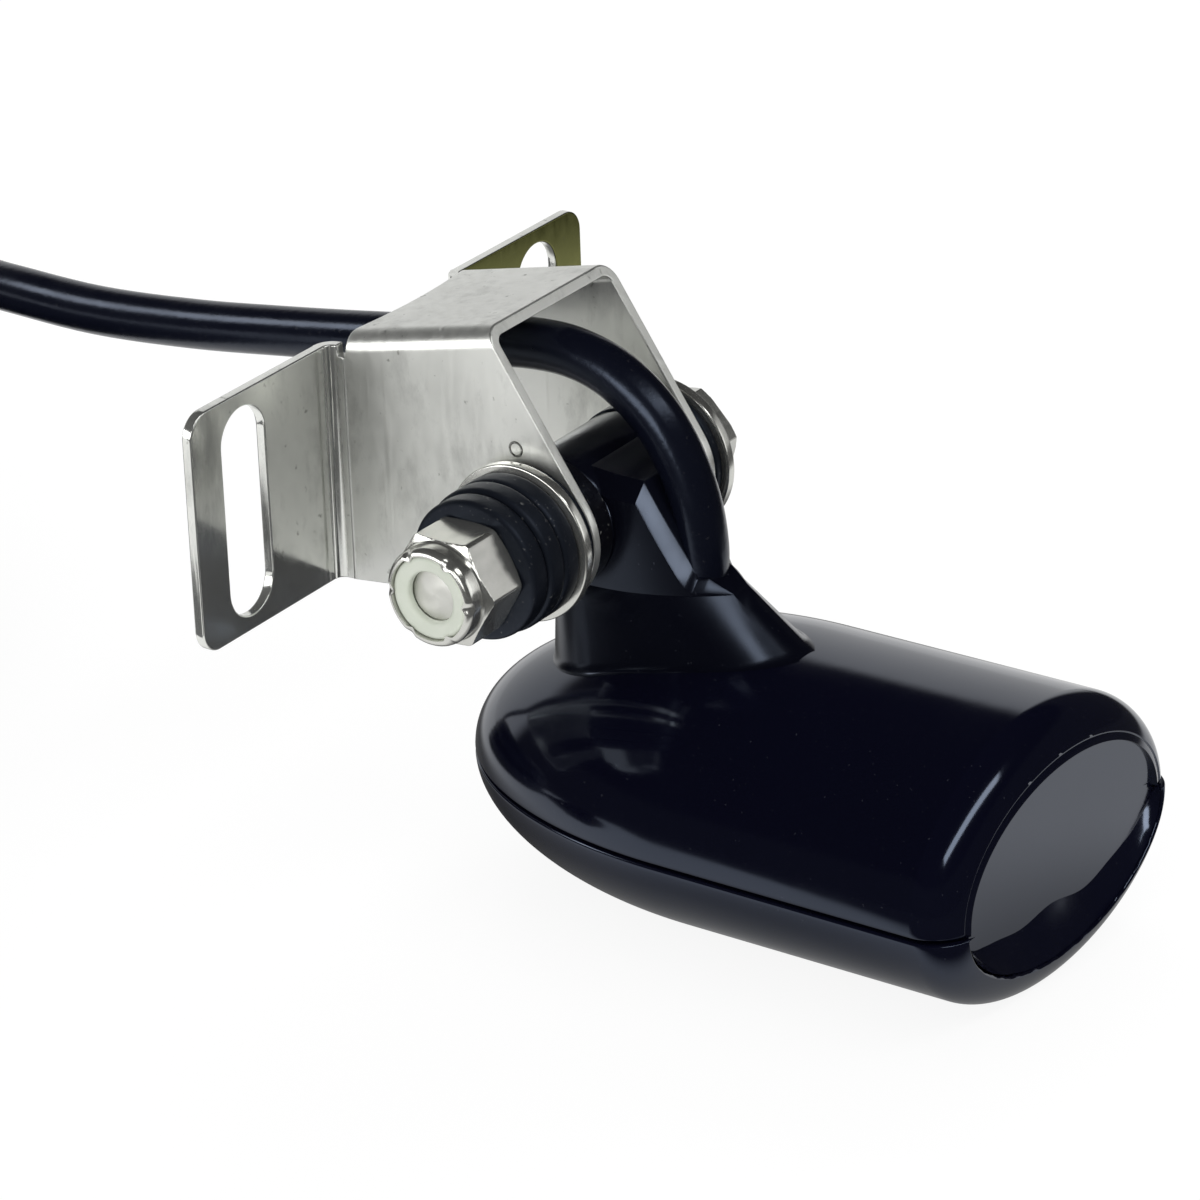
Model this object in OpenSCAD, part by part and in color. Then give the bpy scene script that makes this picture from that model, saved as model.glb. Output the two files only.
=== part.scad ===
// Transom-mount sonar transducer: a moulded body that pivots on a folded sheet bracket,
// with its cable coiled beside it. Millimetres, +Z up, belly on z = 0, nose towards -X.

/* [Transducer body] */
// Length of the body from nose to tail
body_length = 70.3; // [66:0.1:80]
// Width of the body across its straight sides
body_width = 45.6; // [43:0.1:54]
// Height of the parting line above the belly
seam_height = 13.1; // [12:0.1:16]
// Depth of the belly curve below the parting line, before its flat
belly_depth = 13.6; // [13.2:0.1:16.5]
// Height of the crown above the parting line
crown_height = 15; // [13:0.1:17]
// Length of the rounded nose
nose_length = 34.5; // [30:0.5:38]
// Reach of the nose ahead of the pivot
nose_reach = 12.9; // [11:0.1:16]
// Length of the rounded rim at the tail
rim_length = 4.5; // [3:0.1:6]
// Inset of the tail face from the crown
rim_crown = 3.6; // [3:0.1:5]
// Inset of the tail face from the sides
rim_side = 3.2; // [2:0.1:4]
// Inset of the tail face from the belly
rim_belly = 3.2; // [2:0.1:4]
// Forward lean of the tail face
tail_lean = 2.5; // [0:0.5:7]
// Height of the groove along the parting line
groove_height = 0.4; // [0.2:0.1:0.8]
// Depth of the groove along the parting line
groove_depth = 0.6; // [0.3:0.1:1]
// Thickness of the lip that the cap wraps round the tail face
cap_lip = 1; // [0.6:0.1:1.6]
// Depth of the dished tail face behind the lip
dish_depth = 0.9; // [0.4:0.1:1.4]

/* [Stem] */
// Height of the pivot above the belly
pivot_height = 40.2; // [39:0.1:50]
// Radius of the rounded stem head
stem_radius = 7; // [6.5:0.1:7.4]
// Thickness of the stem between the ratchets
stem_width = 14; // [12:0.1:16]
// Level of the top of the boss below the pivot
boss_drop = 6.5; // [6:0.1:6.9]
// Half width of the boss at its top
boss_half = 7; // [6.6:0.1:7.4]
// Widening of each side of the boss for each millimetre down
boss_flare = 0.615; // [0.4:0.005:0.7]
// Reach of the boss behind the pivot at its top
boss_tail = 19.5; // [19:0.1:20.5]
// Tailward rake of the boss for each millimetre down
boss_rake = 1.11; // [0.8:0.01:1.3]
// Reach of the boss ahead of the pivot
boss_front = 3.6; // [3:0.1:5]
// Width of the flat trailing edge
boss_edge = 2.8; // [2:0.1:3.6]
// Height of the top of the neck over the pivot
neck_rise = 5.4; // [4.8:0.1:6]
// Distance from the pivot back to the top edge of the neck
neck_tail = 9.4; // [8.8:0.1:9.8]
// Distance from the pivot back to the foot of the slope behind the neck
neck_foot = 14.6; // [14:0.1:15.5]
// Height of the ledge round the cable over the crease of the boss
ledge_rise = 1.3; // [0.8:0.1:1.6]

/* [Bracket] */
// Thickness of the sheet
sheet = 1.2; // [0.9:0.1:1.6]
// Width over the two walls
channel_width = 22.5; // [22:0.1:26]
// Width over the two flanges
flange_span = 69.2; // [66:0.1:80]
// Distance from the pivot back to the front of the flanges
flange_setback = 25; // [23:0.5:30]
// Height of the flange tops above the pivot
flange_top = 16; // [15:0.1:16.2]
// Drop of the flanges below the pivot
flange_drop = 10.5; // [10:0.1:12]
// Corner radius of the flanges
flange_corner = 2.6; // [1:0.1:5]
// Distance between the middles of the slots
slot_spacing = 52.4; // [50:0.1:56]
// Width of each slot
slot_width = 7.1; // [5:0.1:8]
// Length of each slot
slot_length = 23.2; // [16:0.1:24]
// Inside radius of the bends
bend_radius = 1; // [0.6:0.1:1.6]
// Radius of the ears about the pivot
ear_radius = 7.8; // [7.4:0.1:8.6]
// Height of the bridge above the pivot, at the flanges
bridge_height = 17; // [16.8:0.1:20]
// Slope of the bridge
bridge_slope = 13; // [11:0.5:16]
// Distance from the pivot back to the front edge of the bridge
bridge_front = 5; // [4:0.1:7]
// Distance from the pivot back to the rear edge of the bridge
bridge_rear = 23; // [20:0.1:23.4]
// Depth of the hollow in the rear edge of the bridge
bridge_hollow = 1; // [0.5:0.1:3]

/* [Fasteners] */
// Diameter of the pivot bolt
bolt_d = 6.35; // [5:0.05:7]
// Width of the hexagons across their flats
hex_flats = 11.1; // [10:0.1:12]
// Height of the bolt head
head_height = 4.5; // [3.5:0.1:5]
// Height of the nut with its collar
nut_height = 7.8; // [7:0.1:9]
// Height of the crimped collar of the nut
collar_height = 2.3; // [1.8:0.1:3]
// Outside diameter of the crimped collar
collar_d = 10.6; // [9.8:0.1:11]
// Outside diameter of the locking insert
insert_d = 9; // [8.4:0.1:9.2]
// Outside diameter of the metal washers
washer_d = 17.2; // [15:0.1:19]
// Thickness of the metal washers
washer_t = 1.2; // [1:0.1:2]
// Outside diameter of the rubber washers
rubber_d = 15.8; // [14:0.1:18]
// Thickness of each rubber washer under the nut
rubber_t = 2.6; // [2:0.1:3]
// Thickness of the rubber washer beside the near wall
near_rubber_t = 1.4; // [0.9:0.1:2]
// Thickness of the rubber washer beside the far wall
far_rubber_t = 1.2; // [0.9:0.1:2]
// Radius of the ratchet discs
ratchet_radius = 7.2; // [6.8:0.1:7.6]
// Number of ratchet teeth
ratchet_teeth = 28; // [16:2:36]

/* [Sensor] */
// Diameter of the piezo disc
piezo_d = 22; // [20:0.1:23]
// Thickness of the piezo disc
piezo_t = 9.5; // [8:0.1:10]
// Thickness of the foam sleeve round the disc
sleeve_t = 1.6; // [1.2:0.1:1.8]
// Thickness of the cork behind the disc
cork_t = 2.6; // [1.5:0.1:3]
// Thickness of the cap under the disc
window_t = 3; // [2.6:0.1:3.4]
// Height of the cavity above the parting line
cavity_rise = 7.4; // [7:0.1:7.6]
// Distance from the pivot back to the middle of the disc
piezo_setback = 22; // [20:0.1:22.8]
// Diameter of each lead wire
lead_d = 1.3; // [0.8:0.1:1.6]

/* [Cable and connector] */
// Diameter of the cable
cable_d = 5.4; // [5:0.05:5.5]
// Radius of the coil at the middle of its turns
coil_radius = 31.3; // [29:0.1:33]
// Number of turns beside each other
coil_columns = 5; // [4:1:6]
// Number of turns on top of each other
coil_rows = 6; // [5:1:7]
// Width of the tie round the coil
tie_width = 6; // [4:0.5:7]
// Thickness of the tie
tie_t = 1; // [0.6:0.1:1.5]
// Diameter of the locking ring of the connector
ring_d = 17.6; // [17:0.1:20]
// Length of the locking ring
ring_length = 14; // [10:0.5:18]
// Diameter of the connector shell
shell_d = 13.6; // [12:0.1:14]
// Length of the connector shell
shell_length = 24; // [20:0.5:30]
// Diameter of the connector spigot
spigot_d = 10; // [8.5:0.1:11]
// Length of the connector boot
boot_length = 22; // [16:0.5:30]
// Number of contacts
contact_count = 5; // [3:1:6]

/* [Hidden] */
$fn = 72;

// Clearances: a seat within one body, a sliding face, the pivot, a cable in its socket, a tie
seat_gap = 0.1;
slide_gap = 0.1;
pivot_gap = 0.1;
socket_gap = 0.5;
tie_gap = 0.4;
// Overlap of two solids that are joined, and overrun of a cut past the face that it opens
eps = 0.01;
over = 1;

// Places along the body, counted from the pivot
half_width = body_width / 2;
nose_x = -nose_reach;
tail_x = body_length - nose_reach;
nose_end = nose_x + nose_length;
pivot_x = -(tail_x - flange_setback - sheet) / 2;
seam_z = seam_height - pivot_height;
belly_z = -pivot_height;
lean = tan(tail_lean);
face_half = half_width - rim_side;
face_crown = crown_height - rim_crown;
face_belly = seam_height - rim_belly;
lean_foot = seam_z - face_belly;
tail_step = 0.5;
housing_tail = tail_x - tail_step;
tongue_t = 1.6;

// Places across the walls and the stacks of washers, counted from the middle
wall_out = channel_width / 2;
wall_in = wall_out - sheet;
near_washer_y = wall_out + near_rubber_t;
inner_rubber_y = near_washer_y + washer_t;
middle_rubber_y = inner_rubber_y + rubber_t;
outer_rubber_y = middle_rubber_y + rubber_t;
nut_y = outer_rubber_y + rubber_t;
nut_end_y = nut_y + nut_height;
far_washer_y = wall_out + far_rubber_t;
head_y = far_washer_y + washer_t;
bolt_recess = 1.5;
bolt_bore = bolt_d / 2 + pivot_gap;
hex_chamfer = 0.45;
hex_chamfer_run = 0.7;
head_turn = 13;
nut_turn = 4;
crimp_lip = 0.5;
rubber_round = 0.4;
outer_rubber_step = 0.6;

// Bracket outline
bridge_mid = (bridge_height + flange_setback * tan(bridge_slope)) * cos(bridge_slope);
bridge_front_z = bridge_height + (flange_setback - bridge_front) * tan(bridge_slope);
flange_inner = wall_out + bend_radius;
slot_mid_z = (flange_top - flange_drop) / 2;
bend_lead = 0.8;
bend_swell = 0.02;
wall_rear = -flange_setback + bend_radius;
bend_start = (bridge_mid - bend_radius - sheet) / cos(bridge_slope);
ledge_z = bend_start + wall_rear * tan(bridge_slope) - seat_gap;

// Stem and boss
boss_base = -19;
boss_fall = -boss_drop - boss_base;
base_half = boss_half + boss_flare * boss_fall;
base_tail = boss_tail + boss_rake * boss_fall;
neck_half = min(boss_half, stem_width / 2) - seat_gap;
neck_crest = 3;
ridge_rise = 2;
socket_x = 13.45;
socket_floor = -9;
socket_bend = -2.6;
socket_lean = 16;
socket_radius = cable_d / 2 + socket_gap;

// Sensor stack, from the cap upwards
cavity_radius = piezo_d / 2 + seat_gap + sleeve_t + 2 * seat_gap;
window_z = belly_z + window_t;
piezo_z = window_z + seat_gap;
cork_z = piezo_z + piezo_t + seat_gap;
potting_z = cork_z + cork_t + seat_gap;
cavity_top = seam_z + cavity_rise;
lead_spread = 1.1;
duct_gap = 0.4;
duct_radius = lead_spread + lead_d / 2 + duct_gap;

// Loft resolution: points across each section and round the boss, stations in the nose and the rim
section_steps = 36;
boss_steps = 12;
nose_steps = 10;
rim_steps = 6;

// Coil, standing on its tie: the cable enters its top outer turn and leaves its bottom outer turn
cable_sides = 10;
coil_width = coil_columns * cable_d;
coil_height = coil_rows * cable_d;
coil_corner = 2;
coil_outer = coil_radius + (coil_columns - 1) / 2 * cable_d;
coil_setback = 122.4;
coil_aside = 12;
coil_middle = [pivot_x - coil_setback, coil_aside - coil_outer];
coil_foot = tie_t + cable_d / 2;
coil_head = coil_foot + (coil_rows - 1) * cable_d;
tie_angle = 205;

// Cable from the socket to the coil: points from the pivot, then the distance from the pivot, the share of
// the step aside and the height over the top turn
arch_points = [[socket_x, 0, socket_floor + socket_gap], [socket_x, 0, -5.7], [13.5, 0, -2.6],
    [12.85, 0, 1.8], [11.15, 0, 6.2], [8.75, 0, 10], [5.75, 0, 12.8], [2.15, 0, 14.8], [-2.05, 0, 15.8],
    [-6.45, 0, 15.8], [-13.45, 0, 14.8], [-21.5, 0, 13.3], [-30.5, 0, 11.8], [-40.5, 0, 10.3],
    [-51.5, 0, 8.8], [-65.5, 0, 7.6], [-79.5, 1.2, 7.1]];
drop_points = [[-88, 0.28, 15.6], [-96, 0.5, 12.4], [-104, 0.74, 7.9], [-113, 0.93, 3.2],
    [-coil_setback, 1, 0.6], [-coil_setback - 8, 0.936, 0]];
cable_route = concat([for (p = arch_points) p + [pivot_x, 0, pivot_height]],
    [for (p = drop_points) [pivot_x + p[0], coil_aside * p[1], coil_head + p[2]]]);

// Cable from the coil to the connector: distance along, and share of the rise to its axis
end_points = [[0, 0], [5, 0], [9, 0.08], [14, 0.4], [19, 0.77], [23, 0.97], [26, 1], [30, 1]];
end_route = [for (p = end_points)
    [coil_middle[0] + p[0], coil_middle[1] - coil_outer, coil_foot + p[1] * (ring_d / 2 - coil_foot)]];

// Connector, from the end of its boot
connector_at = end_route[len(end_route) - 1];
boot_wall = 1;
boot_step = 1.2;
shell_x = boot_length;
ring_overhang = 1.5;
ring_x = shell_x + shell_length - ring_length + ring_overhang;
flute_count = 16;
flute_r = 1.2;
flute_margin = 1.5;
spigot_length = 9;
contact_r = 0.9;
contact_inset = 2.4;
contact_floor = 1;

// Frame helpers
module at_pivot() {
    translate([pivot_x, 0, pivot_height]) children();
}

// Puts a piece that stands on +Z on the near side, growing away from the middle
module near(y) {
    translate([0, -y, 0]) rotate([90, 0, 0]) children();
}

// The same on the far side
module far(y) {
    translate([0, y, 0]) rotate([-90, 0, 0]) children();
}

module ring(outer_r, inner_r, height) {
    difference() {
        cylinder(r = outer_r, h = height);
        translate([0, 0, -over]) cylinder(r = inner_r, h = height + 2 * over);
    }
}

// A washer whose rim is rounded over
module soft_ring(outer_r, inner_r, height, round) {
    rotate_extrude() {
        translate([inner_r, 0]) square([outer_r - round - inner_r, height]);
        translate([inner_r, round]) square([outer_r - inner_r, height - 2 * round]);
        for (level = [round, height - round]) translate([outer_r - round, level]) circle(r = round);
    }
}

// A hexagon whose two faces are turned to a cone at the corners
module chamfered_hex(flats, height) {
    corner = flats / 2 / cos(30);
    intersection() {
        cylinder(r = corner, h = height, $fn = 6);
        rotate_extrude() polygon([[0, 0], [corner - hex_chamfer_run, 0], [corner + eps, hex_chamfer],
            [corner + eps, height - hex_chamfer], [corner - hex_chamfer_run, height], [0, height]]);
    }
}

// Body lofts: each station is [x, half width, height], from the first nose ring to the tail face
function nose_station(k, height) = let (a = 90 * k / nose_steps)
    [nose_end - nose_length * cos(a), half_width * sin(a), height * sin(a)];

function rim_station(k, tail, height, inset) = let (a = 90 * k / rim_steps)
    [tail - rim_length + rim_length * sin(a), half_width - rim_side * (1 - cos(a)),
        height - inset * (1 - cos(a))];

function stations(tail, height, inset) = concat(
    [for (k = [1 : nose_steps]) nose_station(k, height)],
    [for (k = [0 : rim_steps]) rim_station(k, tail, height, inset)]);

// The lean grows from nothing at the start of the rim to the whole at the tail face
function leaned(x, z, tail) = x - lean * (z - lean_foot) * max(0, (x - nose_end) / (tail - nose_end));

function section(station, tail, up, floor_z) = [for (j = [0 : section_steps])
    let (a = 180 * j / section_steps, z = max(floor_z, seam_z + up * station[2] * sin(a)))
    [leaned(station[0], z, tail), -up * station[1] * cos(a), z]];

// Closes a stack of half sections into a solid with a flat face at the parting line
module half_loft(tail, height, inset, up, floor_z, shift) {
    rows = stations(tail, height, inset);
    last = len(rows) - 1;
    wide = section_steps + 1;
    points = concat([[leaned(nose_x, seam_z, tail), 0, seam_z]],
        [for (row = rows) each section(row, tail, up, floor_z)]);
    at = function (i, j) 1 + i * wide + j;
    tip = [for (j = [0 : section_steps - 1]) [0, at(0, j + 1), at(0, j)]];
    tip_base = [[0, at(0, 0), at(0, section_steps)]];
    skin = [for (i = [0 : last - 1]) for (j = [0 : section_steps - 1])
        each [[at(i, j), at(i + 1, j + 1), at(i + 1, j)], [at(i, j), at(i, j + 1), at(i + 1, j + 1)]]];
    base = [for (i = [0 : last - 1]) each [[at(i, 0), at(i + 1, section_steps), at(i, section_steps)],
        [at(i, 0), at(i + 1, 0), at(i + 1, section_steps)]]];
    face = [for (j = [1 : section_steps - 1]) [at(last, 0), at(last, j), at(last, j + 1)]];
    translate([0, 0, shift]) polyhedron(points, concat(tip, tip_base, skin, base, face));
}

// Outline of the body at the parting line, drawn in by a margin
module seam_outline(tail, margin) {
    rows = stations(tail, crown_height, rim_crown);
    near_side = [for (row = rows) [min(leaned(row[0], seam_z, tail), tail_x - margin - rim_length / 3),
        -max(eps, row[1] - margin)]];
    far_side = [for (k = [len(near_side) - 1 : -1 : 0]) [near_side[k][0], -near_side[k][1]]];
    polygon(concat([[nose_x + margin, 0]], near_side, far_side));
}

// Outline of the tail face below the parting line, as [across, up] from the parting line
module tongue_outline(margin) {
    polygon([for (j = [0 : section_steps]) let (a = 180 + 180 * j / section_steps)
        [(face_half - cap_lip - margin) * cos(a), (face_belly - cap_lip - margin) * sin(a)]]);
}

// The tongue's root, inside the end wall of the housing
module tongue_root() {
    half = face_half - cap_lip - seat_gap;
    translate([-half, -eps]) square([2 * half, tongue_t]);
}

// Outline of the dished tail face above the parting line
module dish_outline(margin) {
    polygon([for (j = [0 : section_steps]) let (a = 180 * j / section_steps)
        [(face_half - margin) * cos(a), (face_crown - margin) * sin(a)]]);
}

// Draws a flat outline on the leaning tail face and gives it a depth towards the nose
module on_tail(depth) {
    foot = housing_tail - lean * (seam_z - lean_foot);
    translate([foot, 0, seam_z]) rotate([0, -tail_lean, 0]) rotate([90, 0, 90])
        translate([0, 0, -depth]) children();
}

// Plan of the boss at one level: round ahead, drawn by an arc on each side to a flat edge behind
function boss_ring(half, tail, edge, z) = let (
    middle = half - boss_front,
    run = tail - middle,
    drop = half - edge / 2,
    side = (run * run + drop * drop) / (2 * drop),
    sweep = asin(run / side))
    concat([for (k = [0 : boss_steps]) let (a = sweep * (1 - k / boss_steps))
            [middle + side * sin(a), side - half - side * cos(a), z]],
        [for (k = [1 : 2 * boss_steps - 1]) let (a = 270 - 90 * k / boss_steps)
            [middle + half * cos(a), half * sin(a), z]],
        [for (k = [0 : boss_steps]) let (a = sweep * k / boss_steps)
            [middle + side * sin(a), half - side + side * cos(a), z]]);

// Skins two such plans into a solid, with the first one on top
module plan_loft(upper, lower) {
    count = len(upper);
    next = function (i) (i + 1) % count;
    lid = [for (i = [1 : count - 2]) [0, i, i + 1]];
    foot = [for (i = [1 : count - 2]) [count, count + i + 1, count + i]];
    skin = [for (i = [0 : count - 1])
        each [[next(i), i, count + i], [next(i), count + i, count + next(i)]]];
    polyhedron(concat(upper, lower), concat(lid, foot, skin));
}

// Side view of the neck: down a slope that the cable lies against, to a ledge and the ridge of the boss
module neck_outline() {
    polygon([[-boss_front - over, -boss_drop - eps], [boss_tail, -boss_drop - eps],
        [boss_tail - boss_rake * ridge_rise, ridge_rise - boss_drop], [neck_foot, ledge_rise - boss_drop],
        [neck_tail, neck_rise], [neck_crest, stem_radius * cos(asin(neck_crest / stem_radius)) - seat_gap],
        [-boss_front - over, 0]]);
}

// Round head on the bolt, a neck behind it, and the flared boss on the crown
module stem() {
    plan = [for (p = boss_ring(neck_half, boss_tail - seat_gap, boss_edge, 0)) [p[0], p[1]]];
    rotate([90, 0, 0]) cylinder(r = stem_radius, h = stem_width, center = true);
    intersection() {
        translate([0, 0, -stem_radius]) linear_extrude(2 * stem_radius) polygon(plan);
        rotate([90, 0, 0]) linear_extrude(stem_width, center = true) neck_outline();
    }
    plan_loft(boss_ring(boss_half, boss_tail, boss_edge, -boss_drop),
        boss_ring(base_half, base_tail, boss_edge, boss_base));
}

// Upper housing with its stem in one moulding
module upper_housing() {
    color([0.03, 0.03, 0.05]) at_pivot() difference() {
        union() {
            half_loft(housing_tail, crown_height, rim_crown, 1, seam_z, 0);
            stem();
            on_tail(dish_depth + tongue_t) linear_extrude(tongue_t) {
                tongue_outline(seat_gap);
                tongue_root();
            }
        }
        rotate([90, 0, 0]) cylinder(r = bolt_bore, h = 2 * stem_width, center = true);
        translate([piezo_setback, 0, seam_z - over]) cylinder(r = cavity_radius, h = cavity_rise + over);
        translate([socket_x, 0, cavity_top - over])
            cylinder(r = duct_radius, h = socket_floor - cavity_top + 2 * over);
        translate([socket_x, 0, socket_floor]) cylinder(r = socket_radius, h = stem_radius);
        translate([socket_x, 0, socket_bend]) rotate([0, -socket_lean, 0])
            cylinder(r = socket_radius, h = 2 * stem_radius);
        on_tail(dish_depth) linear_extrude(2 * dish_depth) dish_outline(cap_lip);
    }
}

// Bottom cap: the belly, with a lip round the foot of the tail face
module bottom_cap() {
    color([0.04, 0.04, 0.06]) at_pivot() difference() {
        union() {
            half_loft(tail_x, belly_depth, rim_belly, -1, belly_z, -groove_height);
            translate([0, 0, seam_z - groove_height - over]) linear_extrude(groove_height + over)
                seam_outline(tail_x, groove_depth);
        }
        translate([0, 0, belly_z - over]) linear_extrude(over) square(4 * body_length, center = true);
        translate([piezo_setback, 0, window_z]) cylinder(r = cavity_radius, h = seam_height);
        on_tail(dish_depth + tongue_t + seat_gap) linear_extrude(rim_length) tongue_outline(0);
    }
}

// Sensor stack
module at_piezo(z) {
    at_pivot() translate([piezo_setback, 0, z]) children();
}

module lead_places() {
    for (side = [-1, 1]) translate([socket_x, side * lead_spread, 0]) children();
}

module piezo_disc() {
    color([0.86, 0.83, 0.72]) at_piezo(piezo_z) cylinder(d = piezo_d, h = piezo_t);
}

module foam_sleeve() {
    inner = piezo_d / 2 + seat_gap;
    color([0.25, 0.25, 0.27]) at_piezo(piezo_z)
        ring(inner + sleeve_t, inner, piezo_t + seat_gap + cork_t);
}

module cork_backing() {
    color([0.70, 0.52, 0.33]) difference() {
        at_piezo(cork_z) cylinder(d = piezo_d, h = cork_t);
        at_pivot() lead_places() translate([0, 0, cork_z - over])
            cylinder(d = lead_d + 2 * seat_gap, h = cork_t + 2 * over);
    }
}

module potting() {
    color([0.10, 0.10, 0.11]) difference() {
        at_piezo(potting_z) cylinder(r = cavity_radius - seat_gap, h = cavity_top - seat_gap - potting_z);
        at_pivot() lead_places() translate([0, 0, potting_z - over])
            cylinder(d = lead_d + 2 * seat_gap, h = cavity_top - potting_z + 2 * over);
    }
}

module lead_wires() {
    foot = piezo_z + piezo_t + seat_gap / 2;
    color([0.75, 0.12, 0.10]) at_pivot() lead_places() translate([0, 0, foot])
        cylinder(d = lead_d, h = socket_floor - foot);
}

// Folded bracket
module channel_section() {
    deep = flange_setback + bridge_height;
    outer = bend_radius + sheet;
    difference() {
        union() {
            translate([-wall_out, -deep]) square([channel_width, deep + bridge_mid - outer]);
            translate([outer - wall_out, 0]) square([channel_width - 2 * outer, bridge_mid]);
            for (side = [-1, 1]) translate([side * (wall_out - outer), bridge_mid - outer])
                circle(r = outer);
        }
        translate([-wall_in, -deep - over]) square([2 * wall_in, deep + over + bridge_mid - outer]);
        translate([bend_radius - wall_in, 0]) square([2 * (wall_in - bend_radius), bridge_mid - sheet]);
        for (side = [-1, 1]) translate([side * (wall_in - bend_radius), bridge_mid - outer])
            circle(r = bend_radius);
    }
}

// Point where a line from p touches the circle of the ear, ahead of it or below it
function ear_touch(p, turn) = let (a = atan2(p[1], p[0]) + turn * acos(ear_radius / norm(p)))
    [ear_radius * cos(a), ear_radius * sin(a)];

module wall_outline() {
    start = wall_rear + bend_lead / 2;
    lower = [wall_rear + bend_lead, -flange_drop];
    upper = [-bridge_front, bridge_front_z];
    circle(r = ear_radius);
    polygon([lower, [start, -flange_drop], [start, ledge_z], [-bridge_rear, ledge_z],
        [-bridge_rear, bridge_front_z + sheet], [-bridge_front, bridge_front_z + sheet], upper,
        ear_touch(upper, -1), [0, 0], ear_touch(lower, 1)]);
}

module channel() {
    intersection() {
        rotate([0, -bridge_slope, 0]) rotate([90, 0, 90])
            linear_extrude(4 * flange_setback, center = true) channel_section();
        rotate([90, 0, 0]) linear_extrude(2 * channel_width, center = true) wall_outline();
    }
}

module flange_outline() {
    outer = flange_span / 2;
    tall = flange_top + flange_drop;
    translate([-outer + flange_corner, -flange_drop]) square([outer - flange_corner - flange_inner, tall]);
    translate([-outer, flange_corner - flange_drop]) square([flange_corner, tall - 2 * flange_corner]);
    for (z = [flange_corner - flange_drop, flange_top - flange_corner])
        translate([flange_corner - outer, z]) circle(r = flange_corner);
}

module slot_outline() {
    reach = (slot_length - slot_width) / 2;
    translate([-slot_spacing / 2, slot_mid_z]) {
        square([slot_width, 2 * reach], center = true);
        for (side = [-1, 1]) translate([0, side * reach]) circle(d = slot_width);
    }
}

// Plan of the bend between a flange and its wall, swollen a little by the fold
module bend_plan() {
    outer = bend_radius + sheet;
    translate([wall_rear, -flange_inner]) intersection() {
        difference() {
            circle(r = outer + bend_swell);
            circle(r = bend_radius - bend_swell);
        }
        translate([-2 * outer, 0]) square(2 * outer);
    }
}

module near_flange() {
    translate([-flange_setback - sheet, 0, 0]) rotate([90, 0, 90]) linear_extrude(sheet) difference() {
        flange_outline();
        slot_outline();
    }
    translate([0, 0, -flange_drop]) linear_extrude(ledge_z + flange_drop) {
        bend_plan();
        translate([wall_rear, -wall_out - bend_swell]) square([bend_lead, sheet + 2 * bend_swell]);
    }
    translate([0, 0, ledge_z]) linear_extrude(flange_top - ledge_z) bend_plan();
}

module mounting_bracket() {
    hollow_radius = (wall_in * wall_in + bridge_hollow * bridge_hollow) / (2 * bridge_hollow);
    color([0.74, 0.75, 0.72]) at_pivot() difference() {
        union() {
            channel();
            near_flange();
            mirror([0, 1, 0]) near_flange();
        }
        rotate([90, 0, 0]) cylinder(r = bolt_bore, h = 2 * channel_width, center = true);
        translate([-bridge_rear + bridge_hollow - hollow_radius, 0, flange_top + eps])
            cylinder(r = hollow_radius, h = bridge_height);
    }
}

// Pivot bolt and what is stacked on it
module pivot_bolt() {
    shank = head_y + nut_end_y - bolt_recess;
    color([0.80, 0.80, 0.78]) at_pivot() {
        far(head_y) rotate([0, 0, -head_turn]) chamfered_hex(hex_flats, head_height);
        far(head_y - shank) cylinder(d = bolt_d, h = shank);
    }
}

module lock_nut() {
    hex_height = nut_height - collar_height;
    rim = collar_d / 2 - crimp_lip;
    bore = bolt_d / 2 + seat_gap / 2;
    pocket = insert_d / 2 + seat_gap;
    color([0.82, 0.82, 0.80]) at_pivot() near(nut_y) difference() {
        union() {
            rotate([0, 0, nut_turn]) chamfered_hex(hex_flats, hex_height);
            translate([0, 0, hex_height - eps]) rotate_extrude() {
                square([collar_d / 2, collar_height - crimp_lip]);
                square([rim, collar_height]);
                translate([rim, collar_height - crimp_lip]) circle(r = crimp_lip);
            }
        }
        translate([0, 0, -over]) cylinder(r = bore, h = nut_height + 2 * over);
        translate([0, 0, hex_height]) cylinder(r = pocket, h = nut_height);
    }
}

module nylon_insert() {
    color([0.86, 0.90, 0.82]) at_pivot() near(nut_y + nut_height - collar_height + seat_gap)
        ring(insert_d / 2, bolt_d / 2 + seat_gap / 2, collar_height - 3 * seat_gap);
}

module metal_washer() {
    ring(washer_d / 2, bolt_bore, washer_t);
}

module rubber_washer(d, t) {
    soft_ring(d / 2, bolt_bore, t, rubber_round);
}

module nut_washer() {
    color([0.80, 0.80, 0.78]) at_pivot() near(near_washer_y) metal_washer();
}

module head_washer() {
    color([0.80, 0.80, 0.78]) at_pivot() far(far_washer_y) metal_washer();
}

module near_wall_rubber() {
    color([0.05, 0.05, 0.07]) at_pivot() near(wall_out) rubber_washer(rubber_d, near_rubber_t);
}

module rubber_washer_inner() {
    color([0.06, 0.06, 0.08]) at_pivot() near(inner_rubber_y) rubber_washer(rubber_d, rubber_t);
}

module rubber_washer_middle() {
    color([0.06, 0.06, 0.08]) at_pivot() near(middle_rubber_y) rubber_washer(rubber_d, rubber_t);
}

module rubber_washer_outer() {
    color([0.05, 0.05, 0.07]) at_pivot() near(outer_rubber_y)
        rubber_washer(rubber_d - outer_rubber_step, rubber_t);
}

module far_wall_rubber() {
    color([0.05, 0.05, 0.07]) at_pivot() far(wall_out) rubber_washer(rubber_d, far_rubber_t);
}

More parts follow.
